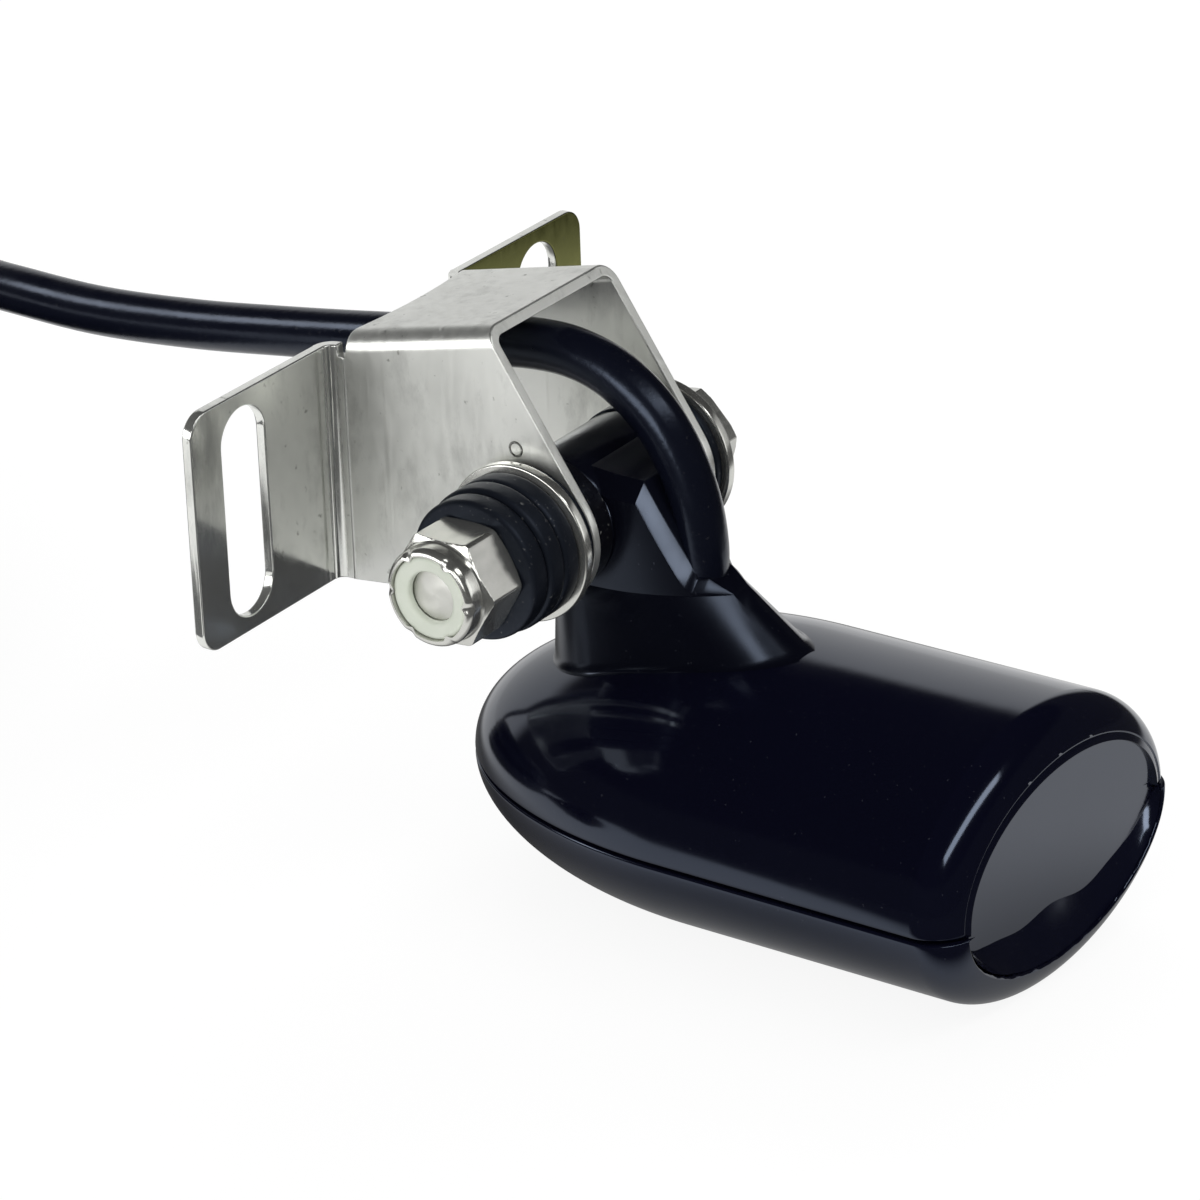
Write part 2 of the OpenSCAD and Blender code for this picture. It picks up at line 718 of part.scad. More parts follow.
// Toothed disc between the stem and a wall
module ratchet() {
    thick = wall_in - stem_width / 2 - 2 * slide_gap;
    tooth = 360 / ratchet_teeth;
    notch_depth = 0.7;
    notch_width = ratchet_radius * sin(tooth / 4) * 2;
    difference() {
        ring(ratchet_radius, bolt_bore, thick);
        for (k = [0 : ratchet_teeth - 1]) rotate([0, 0, k * tooth])
            translate([ratchet_radius - notch_depth, -notch_width / 2, thick - notch_depth])
                cube([2 * notch_depth, notch_width, 2 * notch_depth]);
    }
}

module near_ratchet() {
    color([0.07, 0.07, 0.09]) at_pivot() near(stem_width / 2 + slide_gap) ratchet();
}

module far_ratchet() {
    color([0.07, 0.07, 0.09]) at_pivot() far(stem_width / 2 + slide_gap) ratchet();
}

// Cable: a round tube swept through a list of points that all lie in upright planes
function unit(v) = v / norm(v);

function heading(route, i) = unit(route[min(i + 1, len(route) - 1)] - route[max(i - 1, 0)]);

function tube_ring(route, i, side_hint) = let (
    along = heading(route, i),
    across = unit(side_hint - along * (side_hint * along)),
    other = cross(along, across))
    [for (k = [0 : cable_sides - 1]) let (a = 360 * k / cable_sides)
        route[i] + cable_d / 2 * (cos(a) * across + sin(a) * other)];

module tube(route) {
    last = len(route) - 1;
    points = [for (i = [0 : last]) each tube_ring(route, i, [0, 1, 0])];
    at = function (i, k) i * cable_sides + k % cable_sides;
    skin = [for (i = [0 : last - 1]) for (k = [0 : cable_sides - 1])
        each [[at(i, k), at(i + 1, k + 1), at(i + 1, k)], [at(i, k), at(i, k + 1), at(i + 1, k + 1)]]];
    first = [[for (k = [0 : cable_sides - 1]) cable_sides - 1 - k]];
    end = [[for (k = [0 : cable_sides - 1]) at(last, k)]];
    polyhedron(points, concat(skin, first, end));
}

module cable() {
    color([0.04, 0.04, 0.05]) tube(cable_route);
}

module cable_end() {
    color([0.04, 0.04, 0.05]) tube(end_route);
}

module coil_section(margin) {
    wide = coil_width + 2 * margin;
    high = coil_height + 2 * margin;
    round = coil_corner + margin;
    translate([coil_radius - wide / 2, tie_t - margin]) {
        translate([round, 0]) square([wide - 2 * round, high]);
        translate([0, round]) square([wide, high - 2 * round]);
        for (x = [round, wide - round], z = [round, high - round]) translate([x, z]) circle(r = round);
    }
}

module cable_coil() {
    color([0.04, 0.04, 0.05]) translate(coil_middle) rotate_extrude() coil_section(0);
}

module coil_tie() {
    color([0.10, 0.10, 0.11]) translate(coil_middle) rotate([0, 0, tie_angle])
        rotate([90, 0, 0]) linear_extrude(tie_width, center = true) difference() {
            coil_section(tie_t);
            coil_section(tie_gap);
        }
}

// Connector, lying along +X on its locking ring
module at_connector(x) {
    translate(connector_at) translate([x, 0, 0]) rotate([0, 90, 0]) children();
}

module connector_boot() {
    color([0.05, 0.05, 0.06]) at_connector(0)
        cylinder(d1 = cable_d + 2 * boot_wall, d2 = shell_d - 2 * boot_step, h = boot_length);
}

module connector_shell() {
    color([0.06, 0.06, 0.07]) at_connector(shell_x) difference() {
        union() {
            cylinder(d = shell_d, h = shell_length);
            cylinder(d = spigot_d, h = shell_length + spigot_length);
        }
        contact_places() translate([0, 0, shell_length + contact_floor])
            cylinder(r = contact_r + seat_gap, h = spigot_length);
    }
}

module contact_places() {
    for (k = [0 : contact_count - 1]) rotate([0, 0, 360 * k / contact_count])
        translate([spigot_d / 2 - contact_inset, 0, 0]) children();
}

module connector_contacts() {
    color([0.80, 0.65, 0.30]) at_connector(shell_x) contact_places()
        translate([0, 0, shell_length + contact_floor + seat_gap])
            cylinder(r = contact_r, h = spigot_length - contact_floor - contact_r / 2);
}

module locking_ring() {
    color([0.08, 0.08, 0.09]) at_connector(ring_x) difference() {
        ring(ring_d / 2, shell_d / 2 + seat_gap, ring_length);
        for (k = [0 : flute_count - 1]) rotate([0, 0, 360 * (k + 0.5) / flute_count])
            translate([ring_d / 2 + flute_r / 2, 0, flute_margin])
                cylinder(r = flute_r, h = ring_length - 2 * flute_margin);
    }
}

mounting_bracket();
pivot_bolt();
lock_nut();
nylon_insert();
nut_washer();
head_washer();
near_wall_rubber();
rubber_washer_inner();
rubber_washer_middle();
rubber_washer_outer();
far_wall_rubber();
near_ratchet();
far_ratchet();
upper_housing();
bottom_cap();
piezo_disc();
foam_sleeve();
cork_backing();
potting();
lead_wires();
cable();
cable_coil();
cable_end();
coil_tie();
connector_boot();
connector_shell();
locking_ring();
connector_contacts();
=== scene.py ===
"""Transom sonar transducer on its steel bracket, as it is seen in the photograph."""
import math

import bmesh
import bpy
from mathutils import Matrix, Vector


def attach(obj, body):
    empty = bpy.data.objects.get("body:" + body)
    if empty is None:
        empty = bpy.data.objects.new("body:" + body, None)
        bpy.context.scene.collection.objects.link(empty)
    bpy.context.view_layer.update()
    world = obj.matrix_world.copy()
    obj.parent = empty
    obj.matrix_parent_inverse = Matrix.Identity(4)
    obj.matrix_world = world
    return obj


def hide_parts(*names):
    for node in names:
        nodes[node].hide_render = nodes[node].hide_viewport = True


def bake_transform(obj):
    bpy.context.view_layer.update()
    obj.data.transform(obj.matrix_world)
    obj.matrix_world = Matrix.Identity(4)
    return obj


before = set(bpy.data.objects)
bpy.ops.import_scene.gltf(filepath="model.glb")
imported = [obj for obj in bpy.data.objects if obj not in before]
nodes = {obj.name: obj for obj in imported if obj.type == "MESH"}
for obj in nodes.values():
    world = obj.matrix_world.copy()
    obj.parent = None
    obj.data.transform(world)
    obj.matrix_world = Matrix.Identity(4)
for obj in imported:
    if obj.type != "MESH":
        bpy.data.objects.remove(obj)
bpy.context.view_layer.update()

# Sizes in mm, counted from the pivot unless they say otherwise
PIVOT = Vector((-15.6, 0, 40.2))

# Body: an upper housing and a cap that meet in a groove, with a rolled rim round the tail face
HALF_WIDTH = 22.8
CROWN = 15.0
BELLY = 13.6
BELLY_Z = -40.2
SEAM_Z = -27.1
SEAM_GAP = 0.4
SEAM_SOFT = 0.28
SEAM_DEEP = 1.2
SKIRT = 0.5
NOSE_END = 21.6
NOSE_LENGTH = 34.5
NOSE_ROWS = 72
NOSE_CROWDING = 1.2
NOSE_TIP = 1e-3
BARREL_ROWS = 12
SECTION_STEPS = 128
HOUSING_TAIL = 56.9
CAP_TAIL = 57.4
RIM_LENGTH = 4.5
RIM_CROWN = 3.6
RIM_SIDE = 3.2
RIM_ROWS = 26
RIM_TURN = math.radians(68)
RIM_START = RIM_TURN / 240
LEAN = math.tan(math.radians(2.5))
CAP_INSET = 3.9
CAP_FACE = BELLY - CAP_INSET
CAP_STEPS = 288

# Tail face: a sunken plane, with a wavy band along its foot
FACE_HALF = HALF_WIDTH - RIM_SIDE
FACE_CROWN = CROWN - RIM_CROWN
FACE_BELLY = 9.9
FACE_TOP = 10.6
FACE_SUNK = 0.3
FACE_SLOPE = 0.077
FACE_SKEW = 0.036
FACE_MARGIN = 1.02
FACE_ROWS = 24
FACE_STEPS = 120
LEAN_FOOT = SEAM_Z - FACE_BELLY
BAND_HEIGHT = 3.5
BAND_ROWS = 16
BAND_INSET = 0.35
BAND_LAP = 0.05
BAND_PROUD = 0.25

# Stem: the boss's top and foot as half width, tail and height, and the neck and head above it
BOSS_TOP = (7.0, 18.1, -6.5)
BOSS_FOOT = (10.1, 34.4, -19)
BOSS_FRONT = 3.6
BOSS_EDGE = 2.8
BOSS_STEPS = 28
FILLET_UP = 1.1
FILLET_OUT = 0.8
NECK_HALF = 6.95
NECK_TAIL = 18.05
NECK_FOOT = -6.52
NECK_EASE = 1.9
HEAD_RADIUS = 7
HEAD_HALF = 7
BORE = 3.3

# Stacks on the bolt from each wall outwards: node, thickness, radius, edge and material slot
WALL = 11.25
STACK_GAP = 0.01
NEAR_STACK = [("near_wall_rubber", 1.4, 7.9, 0.5, "black_rubber"),
              ("nut_washer", 1.2, 8.6, 0.22, "steel_fastener"),
              ("rubber_washer_inner", 2.6, 7.9, 0.6, "black_rubber"),
              ("rubber_washer_middle", 2.6, 7.9, 0.6, "black_rubber"),
              ("rubber_washer_outer", 2.6, 7.6, 0.6, "black_rubber")]
FAR_STACK = [("far_wall_rubber", 1.2, 7.9, 0.4, "black_rubber"),
             ("head_washer", 1.2, 8.6, 0.22, "steel_fastener")]
NUT_SEAT = WALL + sum(row[1] for row in NEAR_STACK)
NUT_FLATS = 11.1
NUT_HEX = 5.5
NUT_END = 7.8
NUT_TURN = math.radians(30)
SIXTH = math.pi / 3
TIP_RADIUS = 2.7
TIP_END = 28.0
TIP_BACK = 27.5
STAMP = (-1.6, -11.24, 9.2)
STAMP_RADIUS = 0.75

# Cable, and a coil that is counted from the frame's origin
CABLE_D = 5.4
LINE_PARTS = 6
COIL_RADIUS = 31.3
COIL_COLUMNS = 5
COIL_ROWS = 6
COIL_DODGE = 0.8
COIL_OUTER = COIL_RADIUS + 2 * CABLE_D
COIL_ASIDE = 12.0
COIL_MIDDLE = (-138.0, COIL_ASIDE - COIL_OUTER)
COIL_FOOT = 1 + CABLE_D / 2
COIL_HEAD = COIL_FOOT + (COIL_ROWS - 1) * CABLE_D
CONNECTOR_Z = 8.8
# A turn of the coil has this many points, and moves over to its next place from the second number on
TURN_STEPS = 48
TURN_MOVES = 24

# Merging distances of mesh points, in metres
MERGE = 2e-6
SLIVER = 1e-6


def metres(p):
    return Vector((p[0], p[1], p[2])) / 1000


def from_pivot(p):
    return metres(Vector((p[0], p[1], p[2])) + PIVOT)


def smooth(t):
    t = min(1.0, max(0.0, t))
    return t * t * (3 - 2 * t)


def mix(a, b, t):
    return a + (b - a) * t


def steps(a, b, count):
    return [mix(a, b, k / count) for k in range(count + 1)]


def round_angles(count):
    return [math.tau * k / count for k in range(count)]


# Camera
def set_camera():
    az, el, roll = (math.radians(a) for a in (35.23, 24.97, -2.01))
    aim = (0.29, 0, -11.84)
    away_m = 0.5801
    back = Vector((math.sin(az) * math.cos(el), -math.cos(az) * math.cos(el), math.sin(el)))
    right = Vector((math.cos(az), math.sin(az), 0))
    up = back.cross(right)
    across = right * math.cos(roll) + up * math.sin(roll)
    above = up * math.cos(roll) - right * math.sin(roll)
    place = Matrix.Translation(from_pivot(aim) + back * away_m)
    data = bpy.data.cameras.new("camera")
    data.lens = 166.04
    data.sensor_width = 36
    data.clip_start = 0.05
    data.clip_end = 20
    camera = bpy.data.objects.new("camera", data)
    bpy.context.scene.collection.objects.link(camera)
    camera.matrix_world = place @ Matrix((across, above, back)).transposed().to_4x4()
    bpy.context.scene.camera = camera


set_camera()


# Meshes
def add_object(name, mesh, sharp):
    bm = bmesh.new()
    bm.from_mesh(mesh)
    bmesh.ops.remove_doubles(bm, verts=bm.verts, dist=MERGE)
    bmesh.ops.dissolve_degenerate(bm, edges=bm.edges, dist=SLIVER)
    bmesh.ops.recalc_face_normals(bm, faces=bm.faces)
    bm.to_mesh(mesh)
    bm.free()
    mesh.shade_smooth()
    mesh.set_sharp_from_angle(angle=math.radians(sharp))
    obj = bpy.data.objects.new(name, mesh)
    bpy.context.scene.collection.objects.link(obj)
    return obj


class Shape:
    """Collects grids of points in mm and turns them into one object."""

    def __init__(self, place=from_pivot):
        self.place = place
        self.points = []
        self.faces = []

    def grid(self, rows, round_rows=True, loop=False):
        """Skins a stack of rows. round_rows joins each row's ends, loop the last row to the first."""
        start = len(self.points)
        wide = len(rows[0])
        for row in rows:
            self.points += [self.place(p) for p in row]
        for i in range(len(rows) - (0 if loop else 1)):
            for j in range(wide - (0 if round_rows else 1)):
                a = start + i * wide
                b = start + (i + 1) % len(rows) * wide
                k = (j + 1) % wide
                self.faces.append((a + j, a + k, b + k, b + j))
        return self

    def plate(self, row):
        start = len(self.points)
        self.points += [self.place(p) for p in row]
        self.faces.append(tuple(range(start, start + len(row))))
        return self

    def make(self, name, sharp=32):
        mesh = bpy.data.meshes.new(name)
        mesh.from_pydata(self.points, [], self.faces)
        return add_object(name, mesh, sharp)


def turned(profile, side, count=96):
    """Rows of a turned shape on the bolt's axis: profile is [radius, distance from the middle]."""
    return [[(r * math.cos(a), side * y, r * math.sin(a)) for a in round_angles(count)]
            for r, y in profile]


def rounded(corners, radius):
    """Closed profile whose corners are turned to arcs."""
    out = []
    for i, p in enumerate(corners):
        p = Vector(p)
        a = Vector(corners[i - 1]) - p
        b = Vector(corners[(i + 1) % len(corners)]) - p
        cut = min(radius, 0.45 * a.length, 0.45 * b.length)
        a = p + a.normalized() * cut
        b = p + b.normalized() * cut
        for t in steps(0, 1, 5):
            out.append(tuple(a * (1 - t) ** 2 + p * 2 * t * (1 - t) + b * t ** 2))
    return out


# Cable: from its socket over the stem and under the bridge, round the coil and out to the connector
def through(points, parts=LINE_PARTS):
    """Smooth line through a list of points."""
    pts = [Vector(p) for p in points]
    pts = [2 * pts[0] - pts[1]] + pts + [2 * pts[-1] - pts[-2]]
    line = []
    for a, b, c, d in zip(pts, pts[1:], pts[2:], pts[3:]):
        scale = (c - b).length
        m = ((c - b) / scale + (b - a) / (b - a).length) / 2 * scale
        n = ((c - b) / scale + (d - c).normalized()) / 2 * scale
        for k in range(parts):
            t = k / parts
            line.append(b * (2 * t ** 3 - 3 * t ** 2 + 1) + m * (t ** 3 - 2 * t ** 2 + t)
                        + c * (3 * t ** 2 - 2 * t ** 3) + n * (t ** 3 - t ** 2))
    return line + [pts[-2]]


def coil_turns():
    """Each layer runs in or out by one turn per round, and steps aside to pass down to the next."""
    spots = []
    for layer in range(COIL_ROWS):
        columns = range(COIL_COLUMNS) if layer % 2 == 0 else reversed(range(COIL_COLUMNS))
        spots += [(column, COIL_ROWS - 1 - layer) for column in columns]
    line = []
    for spot, following in zip(spots, spots[1:] + [None]):
        column, row = spot
        next_column, next_row = following or spot
        for j in range(TURN_STEPS if following else TURN_STEPS // 2):
            u = max(0, (j - TURN_MOVES) / (TURN_STEPS - TURN_MOVES))
            dodge = COIL_DODGE * math.sin(math.pi * u) ** 2 if next_row != row else 0
            c = mix(column, next_column, smooth(u)) + (dodge if column else -dodge)
            r = COIL_OUTER - c * CABLE_D
            a = math.radians(90 + 360 * j / TURN_STEPS)
            z = COIL_FOOT + mix(row, next_row, smooth(u)) * CABLE_D
            line.append(Vector((COIL_MIDDLE[0] + r * math.cos(a), COIL_MIDDLE[1] + r * math.sin(a), z)))
    return line


def cable_line():
    arch = [(13.45, 0, -8.5), (13.45, 0, -5.7), (13.5, 0, -2.6), (12.85, 0, 1.8), (11.15, 0, 6.2),
            (8.75, 0, 10), (5.75, 0, 12.8), (2.15, 0, 14.8), (-2.05, 0, 15.8), (-6.45, 0, 15.8),
            (-13.45, 0, 14.8), (-21.5, 0, 13.3), (-30.5, 0, 11.8), (-40.5, 0, 10.3), (-51.5, 0, 8.8),
            (-65.5, 0, 7.6), (-79.5, 1.2, 7.1)]
    # Place along x, share of the way aside, and height above the coil's top layer
    drop = [(-88, 0.28, 15.6), (-96, 0.5, 12.4), (-104, 0.74, 7.9), (-113, 0.93, 3.2), (-122.4, 1, 0.6)]
    # Place along x from the coil's middle, and share of the way up to the connector
    end = [(0, 0), (5, 0), (9, 0.08), (14, 0.4), (19, 0.77), (23, 0.97), (26, 1), (30, 1)]
    first = [Vector(p) + PIVOT for p in arch]
    first += [Vector((PIVOT.x + x, COIL_ASIDE * t, COIL_HEAD + z)) for x, t, z in drop]
    turns = coil_turns()
    last = [Vector((COIL_MIDDLE[0] + x, COIL_MIDDLE[1] - COIL_OUTER,
                    COIL_FOOT + t * (CONNECTOR_Z - COIL_FOOT))) for x, t in end]
    return through(first + turns[1:4])[:-2 * LINE_PARTS] + turns[2:] + through(last, LINE_PARTS // 2)


def tube(name, line, radius):
    rows = []
    side = Vector((0, 1, 0))
    for i, p in enumerate(line):
        along = (line[min(i + 1, len(line) - 1)] - line[max(i - 1, 0)]).normalized()
        side = (side - along * side.dot(along)).normalized()
        other = along.cross(side)
        rows.append([p + radius * (math.cos(a) * side + math.sin(a) * other) for a in round_angles(28)])
    return Shape(metres).grid(rows).plate(rows[0]).plate(rows[-1]).make(name, 50)


line = cable_line()
cable = tube("cable_run", line, CABLE_D / 2)
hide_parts("cable", "cable_coil", "cable_end")
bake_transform(cable)


# Transducer body
def leaned(x, z, tail):
    return x - LEAN * (z - LEAN_FOOT) * max(0.0, (x - NOSE_END) / (tail - NOSE_END))


def half_section(w, h, up, floor):
    """Half of a body section as [y, z], from the near seam edge to the far one, with softened edges."""
    soft = min(SEAM_SOFT, 0.25 * w, 0.25 * h)
    inner = w - min(SEAM_DEEP, 0.6 * w)
    # The upper shell has a skirt behind the groove, so that no light shows through it
    side = [(-inner, -SKIRT)] if up > 0 else []
    side += [(-inner, 0.0)]
    side += [(-w + soft - soft * math.sin(a), soft - soft * math.cos(a))
             for a in steps(0, math.pi / 2, 5)]
    t0 = math.asin(soft / h)
    arc = [(-w * math.cos(t), h * math.sin(t)) for t in steps(t0, math.pi - t0, SECTION_STEPS)][1:-1]
    points = side + arc + [(-y, z) for y, z in reversed(side)]
    return [(y, max(floor, SEAM_Z + up * z)) for y, z in points]


def body_rows(tail, height, inset, up, floor=-math.inf, shift=0.0):
    """Sections of the body above or below the seam, from the tip of the nose to the rim's inner edge."""
    stations = []
    for k in range(NOSE_ROWS + 1):
        a = math.radians(90 * (k / NOSE_ROWS) ** NOSE_CROWDING)
        s = max(NOSE_TIP, math.sin(a))
        stations.append((NOSE_END - NOSE_LENGTH * math.cos(a), HALF_WIDTH * s, height * s))
    for x in steps(NOSE_END, tail - RIM_LENGTH, BARREL_ROWS)[1:-1]:
        stations.append((x, HALF_WIDTH, height))
    for a in [0.0, RIM_START] + steps(0, RIM_TURN, RIM_ROWS - 2)[1:]:
        drawn = (1 - math.cos(a)) / (1 - math.cos(RIM_TURN))
        stations.append((tail - RIM_LENGTH * (1 - math.sin(a) / math.sin(RIM_TURN)),
                         HALF_WIDTH - RIM_SIDE * drawn, height - inset * drawn))
    return [[(leaned(x, z, tail), y, z + shift) for y, z in half_section(w, h, up, floor)]
            for x, w, h in stations]


def on_face(tail, y, z, depth):
    return (leaned(tail, SEAM_Z + z, tail) - depth, y, SEAM_Z + z)


def face_depth(y, z):
    """How far the tail face lies behind the rim's edge: a plane that goes deeper towards its foot."""
    return FACE_SUNK + FACE_SLOPE * (FACE_TOP - z) - FACE_SKEW * y


def face_top(t, margin):
    """Point [y, z] on the upper outline of the tail face, drawn in by margin."""
    return (FACE_HALF - margin) * math.cos(t), (FACE_CROWN - margin) * math.sin(t)


def band_height(t):
    """Height of the wavy band, which runs out at both ends."""
    taper = min(1.0, 1.5 * abs(math.sin(t)))
    return BAND_HEIGHT * taper * (1 + 0.18 * math.sin(4.3 * t + 0.7) + 0.08 * math.sin(9.7 * t))


def face_foot(t, back):
    """Point [y, z] on the lower outline of the tail face, drawn in by back."""
    return ((FACE_HALF - BAND_INSET - 0.5 * back) * math.cos(t),
            (CAP_FACE + BAND_LAP - back) * math.sin(t))


def lip_rows():
    """Inside the rim: a fine groove and a narrow bevel, and then the step down to the sunken face."""
    turns = steps(0, math.pi, FACE_STEPS)
    rows = []
    for margin, depth in ((0, 0), (0.08, 0.07), (0.16, 0.07), (0.28, 0.0), (0.95, -0.2)):
        rows.append([on_face(HOUSING_TAIL, *face_top(t, margin), depth) for t in turns])
    edge_points = [face_top(t, FACE_MARGIN) for t in turns]
    rows.append([on_face(HOUSING_TAIL, y, z, face_depth(y, z)) for y, z in edge_points])
    return rows


def face_rows():
    """Sunken tail face, from its upper edge to the top of the band."""
    rows = []
    for k in steps(0, 1, FACE_ROWS):
        row = []
        for t in steps(0, math.pi, FACE_STEPS):
            top = face_top(t, FACE_MARGIN)
            foot = face_foot(-t, band_height(math.tau - t))
            y, z = mix(top[0], foot[0], k), mix(top[1], foot[1], k)
            row.append(on_face(HOUSING_TAIL, y, z, face_depth(y, z)))
        rows.append(row)
    return rows


def band_rows():
    """Wavy band, which rises from the sunken face to the cap's lip and has an uneven edge there."""
    rows = []
    for u in steps(0, 1, BAND_ROWS):
        row = []
        for t in steps(math.pi, math.tau, 3 * FACE_STEPS):
            height = band_height(t)
            y, z = face_foot(t, height * (1 - u))
            depth = mix(face_depth(*face_foot(t, height)), -BAND_PROUD, 0.75 * u + 0.25 * u ** 3)
            depth += (0.07 * math.sin(15 * t) * math.sin(7 * t + 1) + 0.015 * math.sin(37 * t)) * u * u
            row.append(on_face(HOUSING_TAIL, y, z, depth))
        rows.append(row)
    return rows


def build_crown():
    """Upper shell, the rim with the tail face in it, and the band, as three pieces."""
    rows = body_rows(HOUSING_TAIL, CROWN, RIM_CROWN, 1)
    main = Shape().grid(rows[:1 - RIM_ROWS], round_rows=False).make("upper_shell", 15)
    shape = Shape()
    for part in (rows[-RIM_ROWS:], lip_rows(), face_rows()):
        shape.grid(part, round_rows=False)
    band = Shape().grid(band_rows(), round_rows=False).make("tail_band", 40)
    return main, shape.make("tail_rim", 15), band


def crown_z(x, y):
    s = 1.0
    if x < NOSE_END:
        s = math.sqrt(max(0.0, 1 - ((NOSE_END - x) / NOSE_LENGTH) ** 2))
    return SEAM_Z + CROWN * math.sqrt(max(0.0, s * s - (y / HALF_WIDTH) ** 2))


def boss_ring(half, tail, z):
    """Plan of the boss at one height: round in front, and two arcs that run to a narrow tail."""
    middle = half - BOSS_FRONT
    run = tail - middle
    drop = half - BOSS_EDGE / 2
    side = (run * run + drop * drop) / (2 * drop)
    sweep = math.asin(run / side)
    near = [(middle + side * math.sin(a), side - half - side * math.cos(a), z)
            for a in steps(sweep, 0, BOSS_STEPS)]
    nose = [(middle + half * math.cos(a), half * math.sin(a), z)
            for a in steps(1.5 * math.pi, 0.5 * math.pi, 2 * BOSS_STEPS)][1:-1]
    return near + nose + [(x, -y, z) for x, y, z in reversed(near)]


def boss_foot():
    """Plan of the boss's foot, which is round behind, unlike the narrow top."""
    half, tail, z = BOSS_FOOT
    sweep, fullness = math.radians(84), 0.8
    ring = boss_ring(half, tail, z)
    for k, a in enumerate(steps(sweep, 0, BOSS_STEPS)):
        x = half - BOSS_FRONT + (tail - half + BOSS_FRONT) * math.sin(a)
        y = half * math.cos(a) ** fullness
        ring[k], ring[-1 - k] = (x, -y, z), (x, y, z)
    return ring


def crown_crossing(a, b):
    """Point where the line from a to b meets the crown, found by halving."""
    low, high = 0.0, 1.0
    for _ in range(30):
        t = (low + high) / 2
        p = a.lerp(b, t)
        if p.z > crown_z(p.x, p.y):
            low = t
        else:
            high = t
    return a.lerp(b, low)


def build_boss():
    """Flared boss, with a fillet where it meets the crown."""
    lines = []
    for a, b in zip(boss_ring(*BOSS_TOP), boss_foot()):
        a, b = Vector(a), Vector(b)
        foot = crown_crossing(a, b)
        along = (b - a).normalized()
        start = foot - along * FILLET_UP
        end = foot + Vector((along.x, along.y, 0)).normalized() * FILLET_OUT
        end.z = crown_z(end.x, end.y) - 0.02
        lines.append([a.lerp(start, t) for t in steps(0, 1, 4)]
                     + [start * (1 - t) ** 2 + foot * 2 * t * (1 - t) + end * t * t
                        for t in steps(0, 1, 10)[1:]])
    rows = list(zip(*lines))
    return Shape().grid(rows).plate(rows[0]).make("boss")


def build_neck():
    """Neck with the plan of the boss, cut to a slope that the cable lies against."""
    middle = NECK_HALF - BOSS_FRONT
    drop = NECK_HALF - BOSS_EDGE / 2
    side = ((NECK_TAIL - middle) ** 2 + drop ** 2) / (2 * drop)
    profile = [(-4, 3), (3, 6.2), (9.4, 5.4), (14.5, -5.0), (15.6, -5.0), (NECK_TAIL, -6.45)]
    places = [middle - NECK_HALF * math.cos(a) for a in steps(0.05, math.pi / 2, 16)]
    bends = [middle] + [x for x, z in profile[2:]]
    for a, b in zip(bends, bends[1:]):
        places += steps(a, b, 8)[1:]
    rows = []
    for x in places:
        if x < middle:
            wide = math.sqrt(NECK_HALF ** 2 - (x - middle) ** 2)
        else:
            wide = NECK_HALF - side + math.sqrt(side ** 2 - (x - middle) ** 2)
        for (a, low), (b, high) in zip(profile, profile[1:]):
            if a <= x <= b + 1e-6:
                top = mix(low, high, (x - a) / (b - a))
        soft = min(NECK_EASE, 0.8 * (top - NECK_FOOT), 0.6 * wide)
        near = [(x, -wide, NECK_FOOT), (x, -wide, top - soft),
                (x, -wide + 0.08 * soft, top - 0.88 * soft),
                (x, -wide + 0.88 * soft, top - 0.08 * soft), (x, -wide + soft, top)]
        rows.append(near + [(x, -y, z) for x, y, z in reversed(near)])
    return Shape().grid(rows).plate(rows[0]).plate(rows[-1]).make("neck", 28)


def build_head():
    """Round head of the stem, on the bolt."""
    profile = rounded([(BORE, -HEAD_HALF), (HEAD_RADIUS, -HEAD_HALF), (HEAD_RADIUS, HEAD_HALF),
                       (BORE, HEAD_HALF)], 0.45)
    return Shape().grid(turned(profile, 1, 128), loop=True).make("stem_head", 40)


def build_cap():
    """Lower shell with an uneven lip round the tail face, and a lid under the seam."""
    rows = body_rows(CAP_TAIL, BELLY, CAP_INSET, -1, BELLY_Z + SEAM_GAP, -SEAM_GAP)
    shape = Shape().grid(rows, round_rows=False)
    lip = []
    for margin, depth in [(0, 0), (0.1, 0.03), (0.22, 0.12), (0.3, 0.3), (0.34, 3.4)]:
        row = []
        for t in steps(math.pi, math.tau, CAP_STEPS):
            nick = 0.09 * math.sin(23 * t) * math.sin(11 * t + 1) + 0.03 * math.sin(61 * t + 2)
            m = margin + nick * smooth(margin / 0.2) * abs(math.sin(t))
            z = (CAP_FACE - m) * math.sin(t) - SEAM_GAP
            row.append(on_face(CAP_TAIL, (FACE_HALF - m) * math.cos(t), z, depth))
        lip.append(row)
    shape.grid(lip, round_rows=False)
    lid = [row for row in rows if row[0][0] < CAP_TAIL - 5]
    shape.plate([row[0] for row in lid] + [row[-1] for row in reversed(lid)])
    return shape.make("lower_shell")


crown, rim, edge = build_crown()
boss = build_boss()
neck = build_neck()
head = build_head()
cap = build_cap()
for piece in (crown, rim, edge, boss, neck, head):
    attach(piece, "transducer")
    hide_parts("upper_housing")
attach(cap, "transducer")
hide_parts("bottom_cap")


